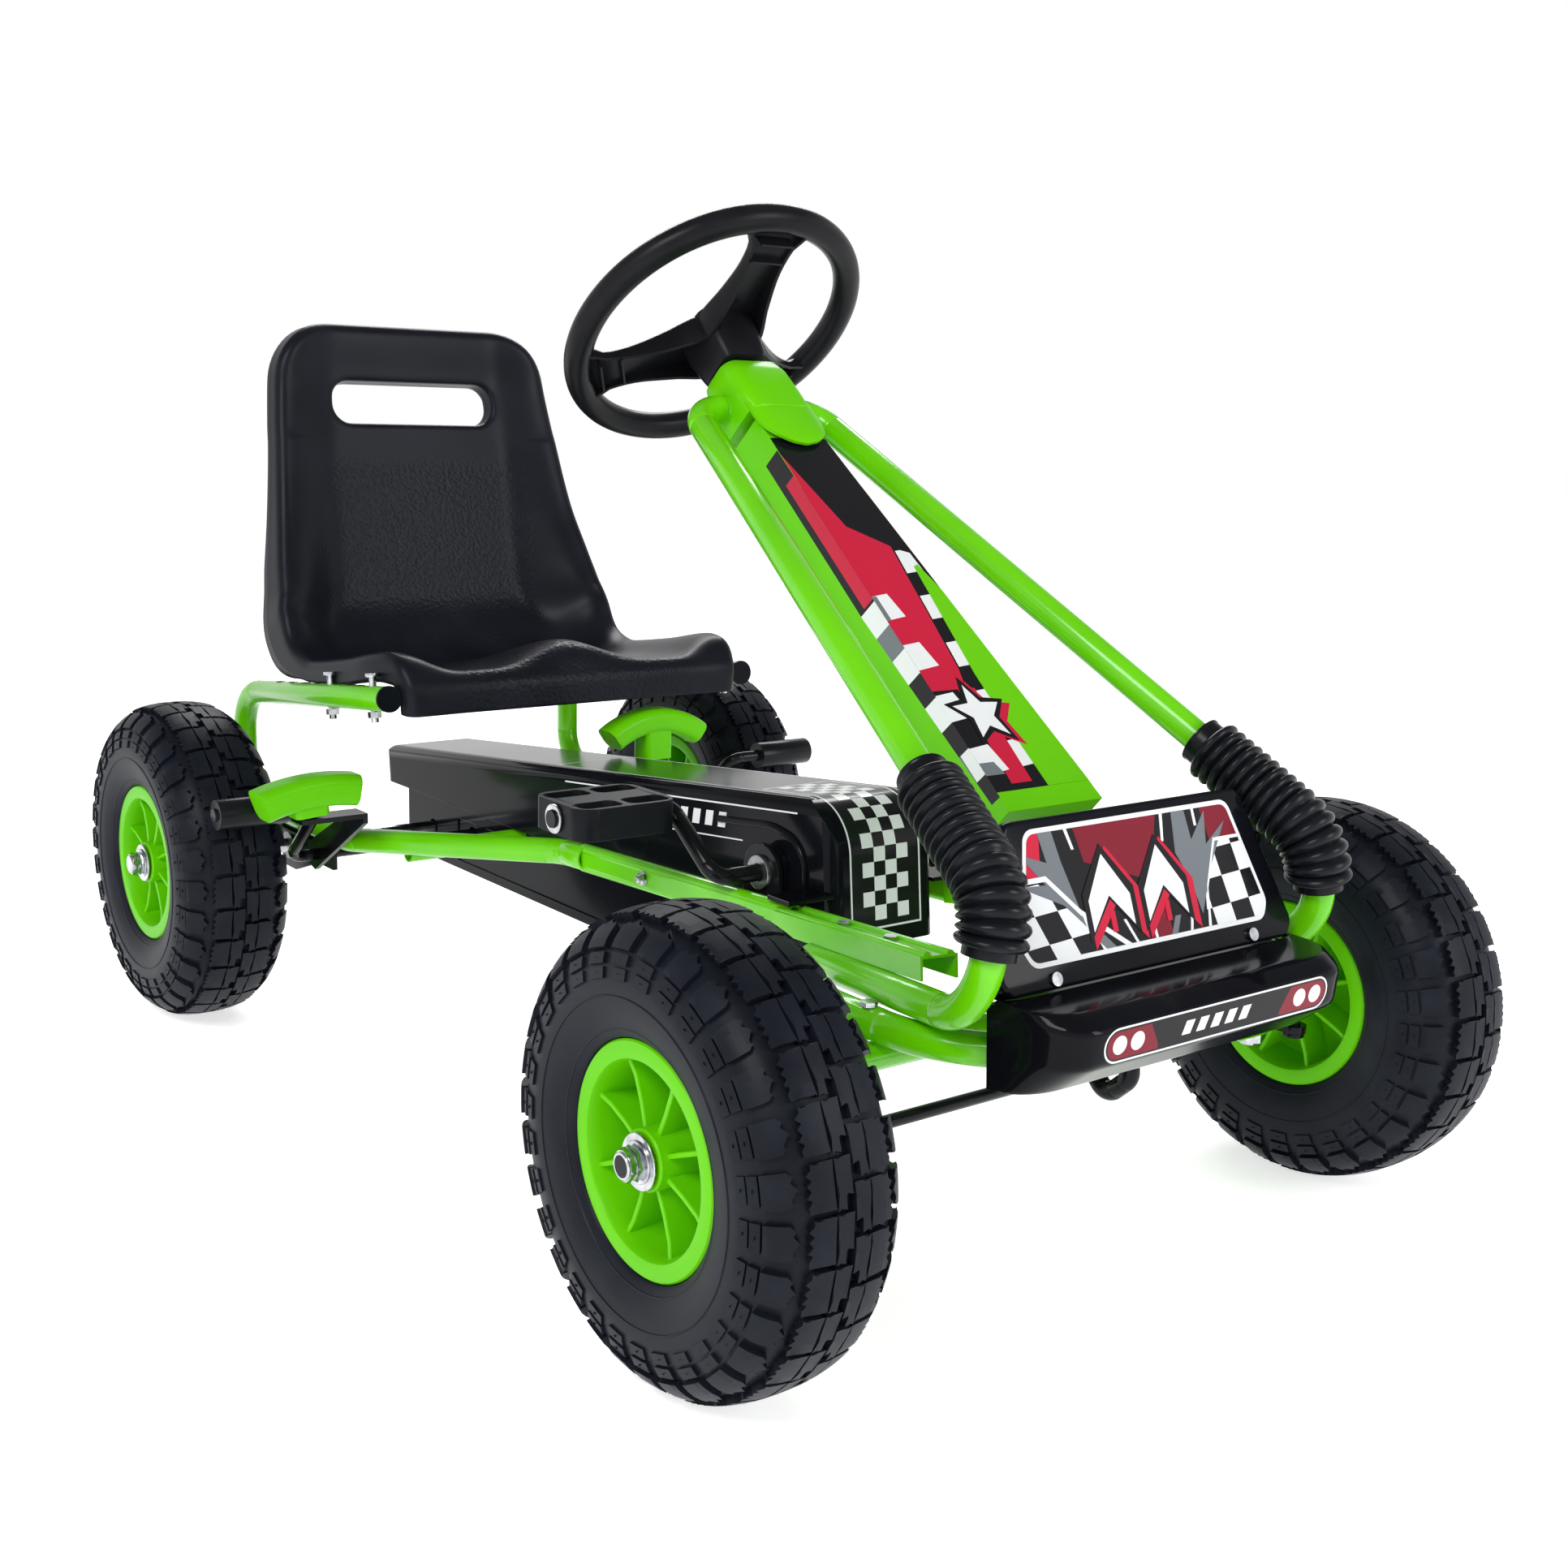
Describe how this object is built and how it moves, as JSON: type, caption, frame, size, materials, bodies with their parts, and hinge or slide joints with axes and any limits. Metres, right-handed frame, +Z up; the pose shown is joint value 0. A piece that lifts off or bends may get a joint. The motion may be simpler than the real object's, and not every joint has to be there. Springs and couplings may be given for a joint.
{
  "type": "pedal go kart",
  "caption": "Child's pedal go kart: lime tube frame, pneumatic tyres, bucket seat, chain drive, rod steering and hand brake.",
  "frame": {"origin": "on the ground, midway between the axles and the wheels", "axes": "+X forward, +Y to the driver's left, +Z up"},
  "size_m": [1.021, 0.626, 0.6568],
  "materials": {
    "green_paint": "gloss powder coat",
    "green_plastic": "gloss moulding",
    "tyre": "block tread",
    "rubber": "smooth rubber",
    "gloss_black": "gloss moulding",
    "matt_black": "fine grain",
    "black_paint": "gloss paint",
    "plated_steel": "bright zinc",
    "plain_steel": "oiled steel"
  },
  "bodies": {
    "root": {"main_tube_right": "green_paint", "main_tube_left": "green_paint", "front_tube_right": "green_paint", "front_tube_left": "green_paint", "head_tube": "green_paint", "column_cover": "green_plastic", "column_cap": "green_plastic", "hoop_tube": "green_paint", "front_axle_beam": "green_paint", "cross_tube": "green_paint", "kingpins": "plated_steel", "frame_bolts": "plated_steel", "bushes": "plain_steel", "bellows_right": "rubber", "bellows_left": "rubber", "front_panel": "gloss_black", "bumper": "gloss_black", "panel_screws": "plated_steel", "chain_guard_upper": "gloss_black", "chain_guard_lower": "gloss_black", "chain": "plain_steel", "seat": "matt_black", "seat_bolts": "plated_steel", "rail_caps": "gloss_black", "rear_brackets": "black_paint", "crank_brackets": "black_paint"},
    "steering": {"steering_wheel": "gloss_black", "steering_shaft": "black_paint"},
    "knuckle_right": {"spindle_right": "black_paint", "front_nut_right": "plated_steel"},
    "knuckle_left": {"spindle_left": "black_paint", "front_nut_left": "plated_steel"},
    "tie_rod_right": {"tie_rod_right": "black_paint"},
    "tie_rod_left": {"tie_rod_left": "black_paint"},
    "wheel_front_right": {"tyre_front_right": "tyre", "inner_tube_front_right": "rubber", "rim_front_right": "green_plastic"},
    "wheel_front_left": {"tyre_front_left": "tyre", "inner_tube_front_left": "rubber", "rim_front_left": "green_plastic"},
    "rear_drive": {"rear_axle": "plated_steel", "rear_sprocket": "plain_steel", "rear_axle_nuts": "plated_steel", "tyre_rear_left": "tyre", "inner_tube_rear_left": "rubber", "rim_rear_left": "green_plastic"},
    "wheel_rear_right": {"tyre_rear_right": "tyre", "inner_tube_rear_right": "rubber", "rim_rear_right": "green_plastic"},
    "crank": {"crank_rod": "black_paint", "crank_sprocket": "plain_steel", "crank_washers": "plated_steel"},
    "pedal_right": {"pedal_right": "matt_black"},
    "pedal_left": {"pedal_left": "matt_black"},
    "brake": {"brake_bar": "black_paint", "brake_grip": "green_plastic", "brake_sleeves": "rubber"},
    "gear_lever": {"gear_post": "black_paint", "gear_grip": "green_plastic"}
  },
  "joints": [
    {"name": "steering", "type": "hinge", "parent": "root", "child": "steering", "pos_m": [0.0046, 0, 0.5753], "axis": [-0.6807, 0, 0.7325], "range_deg": [-28, 28]},
    {"name": "knuckle_right_turn", "type": "hinge", "parent": "root", "child": "knuckle_right", "pos_m": [0.378, -0.195, 0.1325], "axis": [0, 0, 1], "range_deg": [-22, 22]},
    {"name": "knuckle_left_turn", "type": "hinge", "parent": "root", "child": "knuckle_left", "pos_m": [0.378, 0.195, 0.1325], "axis": [0, 0, 1], "range_deg": [-22, 22]},
    {"name": "tie_rod_right_turn", "type": "hinge", "parent": "knuckle_right", "child": "tie_rod_right", "pos_m": [0.414, -0.195, 0.124], "axis": [0, 0, 1], "range_deg": [-22, 22]},
    {"name": "tie_rod_left_turn", "type": "hinge", "parent": "knuckle_left", "child": "tie_rod_left", "pos_m": [0.414, 0.195, 0.124], "axis": [0, 0, 1], "range_deg": [-22, 22]},
    {"name": "wheel_front_right_spin", "type": "hinge", "parent": "knuckle_right", "child": "wheel_front_right", "pos_m": [0.378, -0.265, 0.1325], "axis": [0, 1, 0], "continuous": true},
    {"name": "wheel_front_left_spin", "type": "hinge", "parent": "knuckle_left", "child": "wheel_front_left", "pos_m": [0.378, 0.265, 0.1325], "axis": [0, 1, 0], "continuous": true},
    {"name": "rear_axle_spin", "type": "hinge", "parent": "root", "child": "rear_drive", "pos_m": [-0.378, 0, 0.1325], "axis": [0, 1, 0], "continuous": true},
    {"name": "wheel_rear_right_spin", "type": "hinge", "parent": "rear_drive", "child": "wheel_rear_right", "pos_m": [-0.378, -0.265, 0.1325], "axis": [0, 1, 0], "continuous": true},
    {"name": "crank_spin", "type": "hinge", "parent": "root", "child": "crank", "pos_m": [0.152, 0, 0.207], "axis": [0, 1, 0], "continuous": true},
    {"name": "pedal_right_spin", "type": "hinge", "parent": "crank", "child": "pedal_right", "pos_m": [0.09537, -0.146, 0.24815], "axis": [0, 1, 0], "continuous": true},
    {"name": "pedal_left_spin", "type": "hinge", "parent": "crank", "child": "pedal_left", "pos_m": [0.20863, 0.146, 0.16586], "axis": [0, 1, 0], "continuous": true},
    {"name": "brake_pull", "type": "hinge", "parent": "root", "child": "brake", "pos_m": [-0.305, 0, 0.14], "axis": [0, -1, 0], "range_deg": [0, 14]},
    {"name": "gear_lever_pull", "type": "hinge", "parent": "root", "child": "gear_lever", "pos_m": [-0.215, 0.08, 0.178], "axis": [0, -1, 0], "range_deg": [0, 16]}
  ],
  "couplings": [
    {"joint": "knuckle_right_turn", "follows": "steering", "ratio": 0.77778},
    {"joint": "knuckle_left_turn", "follows": "steering", "ratio": 0.77778},
    {"joint": "tie_rod_right_turn", "follows": "steering", "ratio": -0.77778},
    {"joint": "tie_rod_left_turn", "follows": "steering", "ratio": -0.77778},
    {"joint": "crank_spin", "follows": "rear_axle_spin", "ratio": 0.45}
  ]
}
